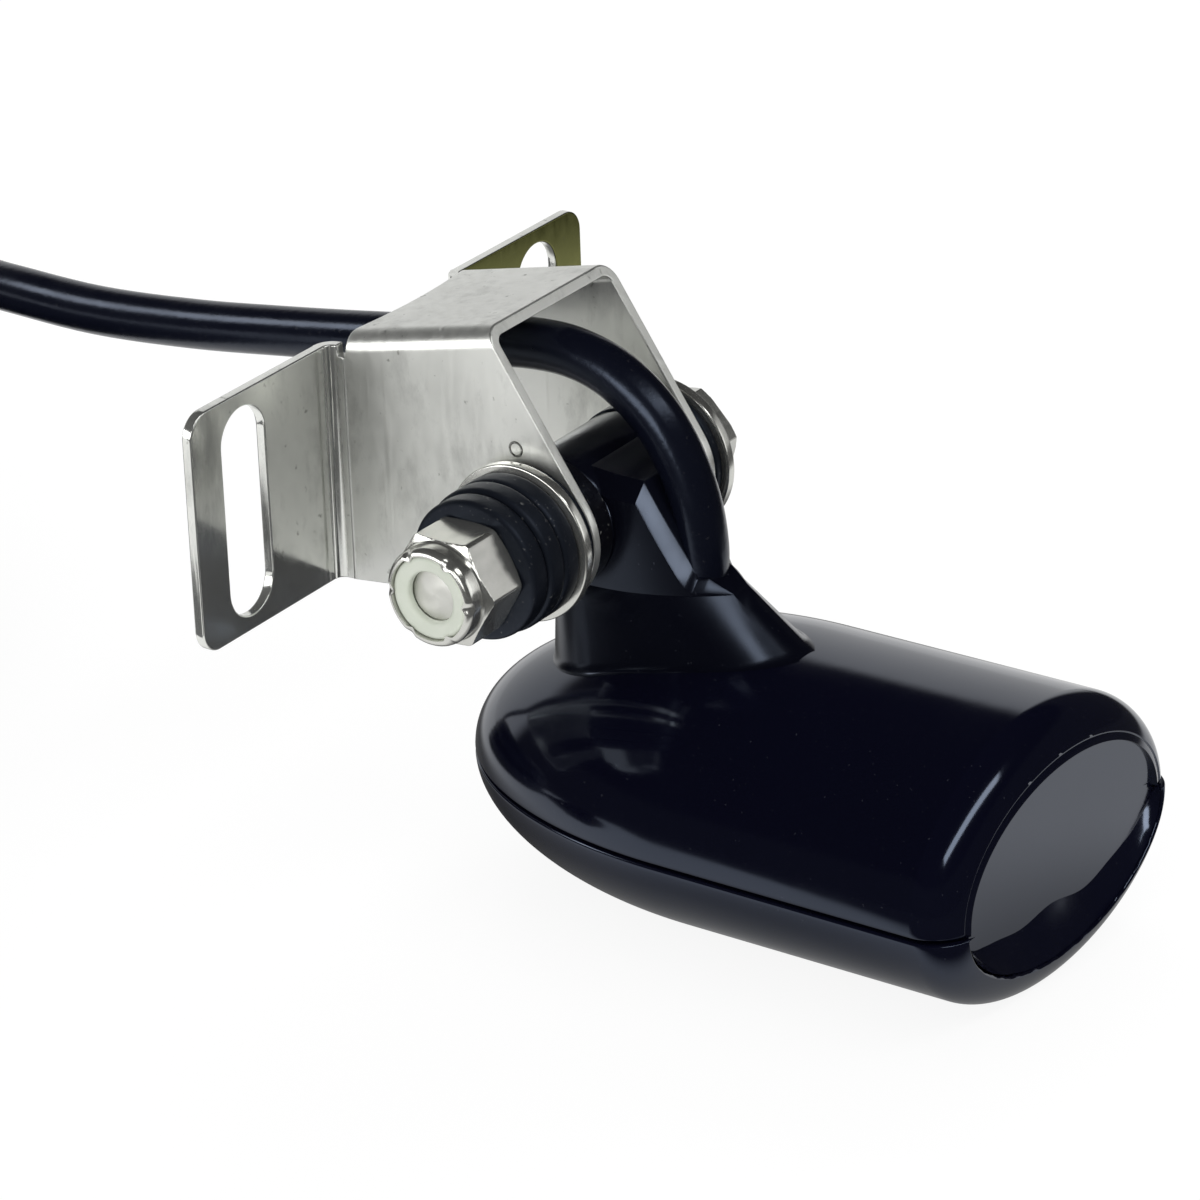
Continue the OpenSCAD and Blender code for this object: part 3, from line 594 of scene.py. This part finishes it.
# Fasteners
def build_nut():
    """Lock nut: a bevelled hexagon, and a collar that is crimped over the nylon ring."""
    angles = round_angles(240)
    bore_radius, seat_radius, corner_cut = 3.4, 4.9, 0.12
    bevel_radius, bevel_slope, bevel = 5.5, 2.1, 0.45
    collar_radius, collar_curl, collar_wall = 4.55, 0.8, 0.75
    crimp_half_turn, crimp_deep, crimp_mouth = 0.16, 0.42, 0.2

    def hex_radius(a):
        b = (a - NUT_TURN + SIXTH / 2) % SIXTH - SIXTH / 2
        return min(NUT_FLATS / 2 / math.cos(b), NUT_FLATS / 2 / math.cos(SIXTH / 2) - corner_cut)

    def ring(limit, y):
        return [(r * math.cos(a), -NUT_SEAT - y, -r * math.sin(a)) for a, r in
                ((a, min(hex_radius(a), limit)) for a in angles)]

    def collar(r, y, dent):
        row = []
        for a in angles:
            aside = abs((a - NUT_TURN) % SIXTH - SIXTH / 2)
            dented = r - dent * (1 - smooth(aside / crimp_half_turn))
            row.append((dented * math.cos(a), -NUT_SEAT - y, -dented * math.sin(a)))
        return row

    rows = [ring(bore_radius, 0), ring(seat_radius, 0)]
    rows += [ring(bevel_radius + bevel_slope * y, y) for y in steps(0, bevel, 10)]
    rows += [ring(bevel_radius + bevel_slope * (NUT_HEX - y), y)
             for y in steps(NUT_HEX - bevel, NUT_HEX, 10)]
    rows += [collar(5.42, NUT_HEX + 0.05, 0), collar(5.3, NUT_HEX + 0.25, 0)]
    for a in steps(0, math.pi / 2, 10):
        rows.append(collar(collar_radius + collar_wall * math.cos(a),
                           NUT_END - collar_curl + collar_curl * math.sin(a), crimp_deep * math.sin(a)))
    rows += [collar(4.5, NUT_END - 0.15, crimp_mouth), collar(collar_radius, NUT_END - 1.2, 0)]
    return Shape().grid(rows).make("crimped_nut", 26)


def build_insert():
    """Nylon ring round the bolt, with a narrower mouth."""
    y = NUT_SEAT + NUT_HEX
    inner, mouth, outer = 3.22, 2.75, 4.5
    profile = rounded([(inner, y + 0.2), (outer, y + 0.2), (outer, y + 2.15), (mouth, y + 2.0),
                       (mouth, y + 0.95), (inner, y + 0.85)], 0.6)
    return Shape().grid(turned(profile, -1), loop=True).make("nylon_ring", 40)


def build_washer(name, y, thick, side, radius, soft):
    profile = rounded([(BORE, y), (radius, y), (radius, y + thick), (BORE, y + thick)], soft)
    return Shape().grid(turned(profile, side, 128), loop=True).make(name, 40)


def build_tip():
    """Rough end of the bolt, seen through the nylon ring."""
    angles = round_angles(48)
    rows = []
    for r in steps(0, TIP_RADIUS, 12):
        rows.append([(r * math.cos(a),
                      -TIP_END - 0.12 * math.cos(r / 2) + 0.02 * r * math.sin(3 * a + 2 * r),
                      r * math.sin(a)) for a in angles])
    rows.append([(x, -TIP_BACK, z) for x, y, z in rows[-1]])
    return Shape().grid(rows).make("bolt_tip", 60)


def build_stamp():
    """Small ring stamped into the near wall."""
    x, y, z = STAMP
    rows = []
    for a in round_angles(48):
        row = []
        for b in round_angles(12):
            r = STAMP_RADIUS + 0.14 * math.cos(b)
            row.append((x + r * math.cos(a), y + 0.09 * math.sin(b), z + r * math.sin(a)))
        rows.append(row)
    return Shape().grid(rows, loop=True).make("stamped_ring", 60)


nut = build_nut()
insert = build_insert()
rings = {}
for stack, side in ((NEAR_STACK, -1), (FAR_STACK, 1)):
    seat = WALL
    for node, thick, radius, soft, slot in stack:
        ring = build_washer(node + "_ring", seat + STACK_GAP, thick - 2 * STACK_GAP, side, radius, soft)
        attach(ring, "bracket")
        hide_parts(node)
        rings[node] = ring
        seat += thick
tip = build_tip()
stamp = build_stamp()
for piece, slot in ((tip, "steel_fastener"), (stamp, "stainless_sheet")):
    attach(piece, "bracket")
for piece, node, slot in ((nut, "lock_nut", "steel_fastener"), (insert, "nylon_insert", "nylon_ring")):
    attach(piece, "bracket")
    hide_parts(node)


def eased(obj, width, segments, sharp):
    """Rounds the sharp edges of a mesh object."""
    bm = bmesh.new()
    bm.from_mesh(obj.data)
    edges = [e for e in bm.edges
             if len(e.link_faces) == 2 and e.calc_face_angle() > math.radians(sharp)]
    bmesh.ops.bevel(bm, geom=edges, offset=width / 1000, segments=segments, profile=0.5, affect="EDGES",
                    clamp_overlap=False)
    bm.to_mesh(obj.data)
    bm.free()
    obj.data.shade_smooth()
    obj.data.set_sharp_from_angle(angle=math.radians(sharp))
    return obj


def refined(node, name, body, width, segments=3):
    """A copy of a CAD mesh with its flat faces joined and its edges eased."""
    sharp = 30
    mesh = nodes[node].data.copy()
    mesh.materials.clear()
    bm = bmesh.new()
    bm.from_mesh(mesh)
    bmesh.ops.remove_doubles(bm, verts=bm.verts, dist=MERGE)
    bmesh.ops.dissolve_limit(bm, angle_limit=math.radians(0.6), verts=bm.verts, edges=bm.edges)
    bm.to_mesh(mesh)
    bm.free()
    obj = eased(add_object(name, mesh, sharp), width, segments, sharp)
    even = obj.modifiers.new("flat_faces", "WEIGHTED_NORMAL")
    even.keep_sharp = True
    even.weight = 90
    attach(obj, body)
    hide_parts(node)
    return obj


bracket = refined("mounting_bracket", "folded_bracket", "bracket", 0.2)
bolt = refined("pivot_bolt", "hex_bolt", "bracket", 0.12)
near_ratchet = refined("near_ratchet", "near_ratchet_disc", "transducer", 0.1, 2)
far_ratchet = refined("far_ratchet", "far_ratchet_disc", "transducer", 0.1, 2)


# Materials: noise scales are per metre, and places and distances are in metres
class Tree:
    """Adds nodes to the node tree of a material or world."""

    def __init__(self, owner):
        owner.use_nodes = True
        self.nodes = owner.node_tree.nodes
        self.links = owner.node_tree.links

    def node(self, kind, **values):
        made = self.nodes.new(kind)
        for key, value in values.items():
            setattr(made, key, value)
        return made

    def link(self, source, target):
        self.links.new(source, target)

    def split(self, source):
        made = self.node("ShaderNodeSeparateXYZ")
        self.link(source, made.inputs[0])
        return made.outputs

    def along(self, source, axis):
        made = self.node("ShaderNodeVectorMath", operation="DOT_PRODUCT")
        made.inputs[1].default_value = axis
        self.link(source, made.inputs[0])
        return made.outputs["Value"]

    def ranged(self, source, low, high, out_low, out_high, kind="LINEAR"):
        made = self.node("ShaderNodeMapRange", interpolation_type=kind)
        made.inputs["From Min"].default_value = low
        made.inputs["From Max"].default_value = high
        made.inputs["To Min"].default_value = out_low
        made.inputs["To Max"].default_value = out_high
        self.link(source, made.inputs["Value"])
        return made.outputs["Result"]

    def faded(self, source, low, high, out_low, out_high):
        return self.ranged(source, low, high, out_low, out_high, "SMOOTHSTEP")

    def joined(self, kind, first, second):
        made = self.node("ShaderNodeMath", operation=kind)
        self.link(first, made.inputs[0])
        self.link(second, made.inputs[1])
        return made.outputs[0]

    def times(self, first, second):
        return self.joined("MULTIPLY", first, second)

    def most(self, first, second):
        return self.joined("MAXIMUM", first, second)

    def blend(self, factor, first, second):
        made = self.node("ShaderNodeMix", data_type="RGBA")
        for socket, value in ((made.inputs[6], first), (made.inputs[7], second)):
            if isinstance(value, tuple):
                socket.default_value = (*value, 1)
            else:
                self.link(value, socket)
        self.link(factor, made.inputs[0])
        return made.outputs[2]


class Paint(Tree):
    """One material of the part, on a principled shader."""

    def __init__(self, name):
        self.material = bpy.data.materials.new(name)
        super().__init__(self.material)
        self.shader = self.nodes["Principled BSDF"]
        self.place = self.node("ShaderNodeTexCoord").outputs["Object"]

    def set(self, **values):
        for key, value in values.items():
            self.shader.inputs[key.replace("_", " ")].default_value = value
        return self

    def stretched(self, scale):
        made = self.node("ShaderNodeMapping")
        made.inputs["Scale"].default_value = scale
        self.link(self.place, made.inputs["Vector"])
        return made.outputs["Vector"]

    def noise(self, scale, detail=3.0, rough=0.55, stretch=None):
        made = self.node("ShaderNodeTexNoise")
        made.inputs["Scale"].default_value = scale
        made.inputs["Detail"].default_value = detail
        made.inputs["Roughness"].default_value = rough
        self.link(self.stretched(stretch) if stretch else self.place, made.inputs["Vector"])
        return made.outputs["Fac"]

    def colour(self, source):
        self.link(source, self.shader.inputs["Base Color"])

    def roughness(self, source):
        self.link(source, self.shader.inputs["Roughness"])

    def bump(self, *layers):
        """Stacks layers of height, strength and distance in metres."""
        normal = None
        for height, strength, distance in layers:
            made = self.node("ShaderNodeBump")
            made.inputs["Strength"].default_value = strength
            made.inputs["Distance"].default_value = distance
            self.link(height, made.inputs["Height"])
            if normal:
                self.link(normal, made.inputs["Normal"])
            normal = made.outputs["Normal"]
        self.link(normal, self.shader.inputs["Normal"])


COOL_SHINE = (0.64, 0.76, 1, 1)


def gloss_black(name, base, rough, level):
    """Moulded plastic with a few dust specks and a slightly uneven gloss."""
    paint = Paint(name).set(IOR=1.5, Specular_IOR_Level=level, Specular_Tint=COOL_SHINE)
    dust = paint.ranged(paint.noise(2600, 1), 0.74, 0.80, 0, 0.35)
    paint.colour(paint.blend(dust, base, (0.06, 0.065, 0.08)))
    paint.roughness(paint.ranged(paint.noise(60, 4), 0.3, 0.7, rough * 0.7, rough * 1.4))
    paint.bump((paint.noise(160, 2), 0.03, 0.0004))
    return paint.material


def steel(name, base, rough, grain):
    """Metal with a fine grain and faint clouds."""
    paint = Paint(name).set(Metallic=0.92)
    fine = paint.noise(900, 3, 0.6, grain)
    cloud = paint.noise(70, 3)
    paint.colour(paint.blend(paint.ranged(cloud, 0.35, 0.7, 0, 1), base, tuple(0.9 * c for c in base)))
    paint.roughness(paint.ranged(fine, 0.3, 0.75, rough * 0.75, rough * 1.35))
    paint.bump((fine, 0.06, 0.0001), (cloud, 0.05, 0.0006))
    return paint.material


def folded_steel(name, base, reflection_tint):
    """Sheet steel: the flanges are polished, the walls satin, and the far flange's front carries a painted
    olive reflection.
    """
    paint = Paint(name).set(Metallic=0.9)
    fine = paint.noise(1100, 3, 0.6, (1, 1, 0.30))
    cloud = paint.noise(60, 4)
    # The flanges lie behind the walls, and the far one beyond the far wall
    place = paint.split(paint.place)
    flange = paint.ranged(place["X"], -0.0394, -0.0400, 0, 1)
    far = paint.ranged(place["Y"], 0.0118, 0.0130, 0, 1)
    facing = paint.split(paint.node("ShaderNodeTexCoord").outputs["Normal"])
    front = paint.ranged(facing["X"], 0.3, 0.8, 0, 1)
    # Painted reflection: an olive tint on the far flange's front faces stands in for a yellowish
    # surrounding mirrored there
    painted_reflection = paint.times(paint.times(flange, front), far)
    mottled = paint.blend(paint.ranged(cloud, 0.35, 0.7, 0, 1), base, tuple(0.88 * c for c in base))
    stain = paint.ranged(paint.noise(240, 5, 0.7, (1, 1, 0.45)), 0.52, 0.72, 0, 0.8)
    mottled = paint.blend(stain, mottled, tuple(0.66 * c for c in base))
    spots = paint.ranged(paint.noise(800, 3), 0.67, 0.74, 0, 0.6)
    paint.colour(paint.blend(spots, paint.blend(painted_reflection, mottled, reflection_tint), (0.16, 0.16, 0.13)))
    satin = paint.ranged(fine, 0.3, 0.75, 0.30, 0.42)
    polish = paint.ranged(fine, 0.3, 0.75, 0.10, 0.19)
    finish = paint.node("ShaderNodeMix")
    paint.link(flange, finish.inputs[0])
    paint.link(satin, finish.inputs[2])
    paint.link(polish, finish.inputs[3])
    paint.roughness(finish.outputs[0])
    scratch = paint.ranged(paint.noise(420, 2, 0.5, (1, 1, 0.06)), 0.66, 0.72, 0, 1)
    paint.bump((fine, 0.015, 0.0001), (cloud, 0.04, 0.0005), (scratch, 0.3, 0.00005))
    return paint.material


def soft_black(name, base, rough, fleck):
    """Rubber or jacket with pale flecks of dust and a fine tooth."""
    paint = Paint(name).set(IOR=1.48, Specular_Tint=COOL_SHINE)
    dust = paint.ranged(paint.noise(1900, 2), 0.66, 0.76, 0, fleck)
    paint.colour(paint.blend(dust, base, (0.22, 0.22, 0.21)))
    paint.roughness(paint.ranged(paint.noise(220, 3), 0.3, 0.7, rough * 0.85, rough * 1.15))
    paint.bump((paint.noise(1200, 3), 0.12, 0.0002))
    return paint.material


def mottled_paint(name, base, shade, rough, scale):
    """Plain surface that varies between two colours."""
    paint = Paint(name).set(IOR=1.5)
    paint.colour(paint.blend(paint.ranged(paint.noise(scale, 4), 0.35, 0.65, 0, 1), base, shade))
    paint.roughness(paint.ranged(paint.noise(scale * 3, 2), 0.3, 0.7, rough * 0.85, rough * 1.15))
    paint.bump((paint.noise(scale * 2, 3), 0.1, 0.0003))
    return paint.material


def coat(material, *pieces):
    for piece in pieces:
        piece.data.materials.clear()
        piece.data.materials.append(material)


shell_black = gloss_black("gloss_housing", (0.0028, 0.003, 0.009), 0.11, 0.8)
stem_black = gloss_black("stem_housing", (0.002, 0.0022, 0.005), 0.2, 0.5)
# The last colour is the painted olive reflection on the far flange's front
sheet_steel = folded_steel("bright_sheet", (0.87, 0.88, 0.84), (0.17, 0.175, 0.05))
bolt_steel = steel("bolt_steel", (0.70, 0.70, 0.66), 0.19, (1, 0.3, 1))
cast_steel = steel("bolt_end_steel", (0.72, 0.72, 0.68), 0.5, (1, 1, 1))
mark_steel = steel("stamp_steel", (0.42, 0.42, 0.40), 0.3, (1, 1, 1))
rubber = soft_black("washer_rubber", (0.007, 0.0085, 0.013), 0.48, 0.45)
jacket = soft_black("cable_jacket_black", (0.003, 0.0036, 0.008), 0.24, 0.06)
toothed = soft_black("ratchet_black", (0.004, 0.004, 0.006), 0.28, 0.6)
plug_black = soft_black("plug_black", (0.012, 0.012, 0.014), 0.42, 0.2)
strap = soft_black("strap_black", (0.015, 0.015, 0.016), 0.5, 0.2)
nylon = mottled_paint("nylon_white", (0.80, 0.84, 0.74), (0.74, 0.79, 0.68), 0.35, 300)

STEM = [boss, neck, head]
STEEL = [bracket, bolt, nut, tip, rings["nut_washer"], rings["head_washer"]]
coat(shell_black, crown, rim, edge, cap)
coat(stem_black, *STEM)
coat(sheet_steel, bracket)
coat(bolt_steel, bolt, nut, rings["nut_washer"], rings["head_washer"])
coat(rubber, *(ring for node, ring in rings.items() if "rubber" in node))
coat(nylon, insert)
coat(cast_steel, tip)
coat(mark_steel, stamp)
coat(toothed, near_ratchet, far_ratchet)
coat(jacket, cable)

# CAD nodes that are shown as they are
PLAIN = {"piezo_disc": mottled_paint("piezo_cream", (0.78, 0.72, 0.55), (0.70, 0.64, 0.48), 0.5, 500),
         "foam_sleeve": soft_black("sleeve_foam", (0.05, 0.05, 0.055), 0.85, 0.2),
         "cork_backing": mottled_paint("cork_brown", (0.45, 0.27, 0.13), (0.24, 0.13, 0.06), 0.8, 900),
         "potting": soft_black("resin_black", (0.012, 0.012, 0.013), 0.3, 0.1),
         "lead_wires": mottled_paint("lead_red", (0.45, 0.03, 0.025), (0.40, 0.025, 0.02), 0.45, 600),
         "coil_tie": strap,
         "connector_boot": plug_black,
         "connector_shell": plug_black,
         "locking_ring": plug_black,
         "connector_contacts": steel("contact_gold", (0.83, 0.62, 0.28), 0.22, (1, 1, 1))}
for node, material in PLAIN.items():
    for holder in nodes[node].material_slots:
        holder.material = material


# Studio: a white floor and backdrop, soft lamps, and a room that is dark in mirrors towards the camera
def floor_material():
    """White to the camera, lit by the lamps, and seen in mirror surfaces only where the photo shows it."""
    material = bpy.data.materials.new("white_floor")
    tree = Tree(material)
    tree.nodes.clear()
    place = tree.node("ShaderNodeTexCoord").outputs["Object"]
    rays = tree.node("ShaderNodeLightPath").outputs

    def inside(axis, start, end):
        return tree.faded(tree.along(place, axis), start, end, 1, 0)

    def shaded(middle, half, least):
        """Darker patch of floor, as the object's own shadow shows in its mirror surfaces."""
        under = tree.node("ShaderNodeMapping")
        under.inputs["Location"].default_value = tuple(-m / h for m, h in zip(middle, half)) + (0,)
        under.inputs["Scale"].default_value = tuple(1 / h for h in half) + (0,)
        tree.link(place, under.inputs["Vector"])
        away = tree.node("ShaderNodeVectorMath", operation="LENGTH")
        tree.link(under.outputs["Vector"], away.inputs[0])
        return tree.faded(away.outputs["Value"], 0.6, 1.1, least, 1)

    # Edges and dark patches of the floor that mirror surfaces show, in metres
    sheet = tree.times(inside((0.90, 0.43, 0), 0.085, 0.105), inside((0.75, -0.66, 0), 0.046, 0.058))
    sheet = tree.times(sheet, shaded((0.006, 0), (0.055, 0.045), 0.36))
    sheet = tree.times(sheet, shaded((-0.036, 0.03), (0.055, 0.065), 0.12))
    mirrored = tree.most(rays["Is Glossy Ray"], rays["Is Transmission Ray"])
    seen = tree.most(rays["Is Camera Ray"], tree.times(mirrored, sheet))
    share = tree.node("ShaderNodeMath", operation="MULTIPLY")
    share.inputs[1].default_value = 0.85
    tree.link(seen, share.inputs[0])
    matt = tree.node("ShaderNodeBsdfDiffuse")
    tree.link(tree.blend(mirrored, (0.86, 0.86, 0.86), (0.04, 0.04, 0.04)), matt.inputs["Color"])
    glow = tree.node("ShaderNodeEmission")
    glow.inputs["Strength"].default_value = 1.06
    both = tree.node("ShaderNodeMixShader")
    tree.link(share.outputs[0], both.inputs["Fac"])
    tree.link(matt.outputs[0], both.inputs[1])
    tree.link(glow.outputs[0], both.inputs[2])
    tree.link(both.outputs[0], tree.node("ShaderNodeOutputMaterial").inputs["Surface"])
    return material


def build_floor():
    half, z = 4, -2e-4
    mesh = bpy.data.meshes.new("floor")
    mesh.from_pydata([(-half, -half, z), (half, -half, z), (half, half, z), (-half, half, z)],
                     [], [(0, 1, 2, 3)])
    mesh.materials.append(floor_material())
    floor = bpy.data.objects.new("floor", mesh)
    bpy.context.scene.collection.objects.link(floor)


def build_world():
    """White to the camera, a dim room for diffuse light, and a low backdrop for mirror surfaces."""
    world = bpy.data.worlds.new("studio")
    bpy.context.scene.world = world
    tree = Tree(world)
    tree.nodes.clear()
    way = tree.node("ShaderNodeTexCoord").outputs["Generated"]
    behind = tree.faded(tree.along(way, (-0.819, 0.574, 0)), 0.76, 0.84, 0.03, 0.95)
    low = tree.faded(tree.split(way)["Z"], 0.42, 0.50, 1, 0.03)
    rays = tree.node("ShaderNodeLightPath").outputs
    mirrored = tree.most(rays["Is Glossy Ray"], rays["Is Transmission Ray"])
    room = tree.faded(rays["Is Diffuse Ray"], 0, 1, 0, 0.55)
    backdrop = tree.times(behind, low)
    level = tree.most(tree.most(rays["Is Camera Ray"], room), tree.times(mirrored, backdrop))
    light = tree.node("ShaderNodeBackground")
    tree.link(level, light.inputs["Strength"])
    tree.link(light.outputs[0], tree.node("ShaderNodeOutputWorld").inputs["Surface"])


def add_light(name, place, power, size, shiny=True, only=()):
    """Area lamp that is aimed at the object, and lights only the pieces named, if any are."""
    aim = Vector((0.0, 0.0, 0.02))
    data = bpy.data.lights.new(name, "AREA")
    data.energy = power
    data.shape = "RECTANGLE"
    data.size, data.size_y = size
    light = bpy.data.objects.new(name, data)
    bpy.context.scene.collection.objects.link(light)
    light.visible_glossy = shiny
    if only:
        group = bpy.data.collections.new(name + "_receivers")
        for piece in only:
            group.objects.link(piece)
        light.light_linking.receiver_collection = group
    light.location = place
    light.rotation_euler = (aim - Vector(place)).to_track_quat("-Z", "Y").to_euler()


build_floor()
build_world()
add_light("back_light", (-0.35, 0.75, 0.60), 4.0, (0.9, 0.35), shiny=False)
add_light("fill_light", (0.30, -0.90, 0.55), 4.0, (0.8, 0.8), shiny=False)
add_light("left_light", (-0.72, -0.37, 0.59), 1.4, (0.28, 0.28), only=[rim, edge, cap, cable, *STEM])
add_light("right_strip", (0.58, -0.05, 0.80), 2.0, (1.0, 0.15))
add_light("band_light", (0.97, 0.14, 0.18), 1.2, (0.25, 0.25), only=[edge])
add_light("stem_light", (0.97, 0.10, 0.22), 2.2, (0.30, 0.30), only=STEM)
add_light("boss_light", (0.38, -0.35, 0.85), 0.6, (0.16, 0.26), only=STEM)
add_light("steel_front", (-0.45, -0.75, 0.10), 6.4, (0.9, 0.5), only=STEEL)
add_light("steel_right", (0.85, 0.35, 0.25), 1.4, (0.7, 0.5), only=STEEL)
add_light("steel_back", (0.60, 0.74, 0.25), 0.36, (0.5, 0.5), only=STEEL)
add_light("steel_card", (0.30, -0.90, 0.30), 1.2, (0.4, 0.4), only=STEEL)
add_light("cable_light", (0.0, -0.95, 0.28), 2.8, (0.5, 0.35), only=[cable])

bpy.context.scene.view_settings.view_transform = "Standard"
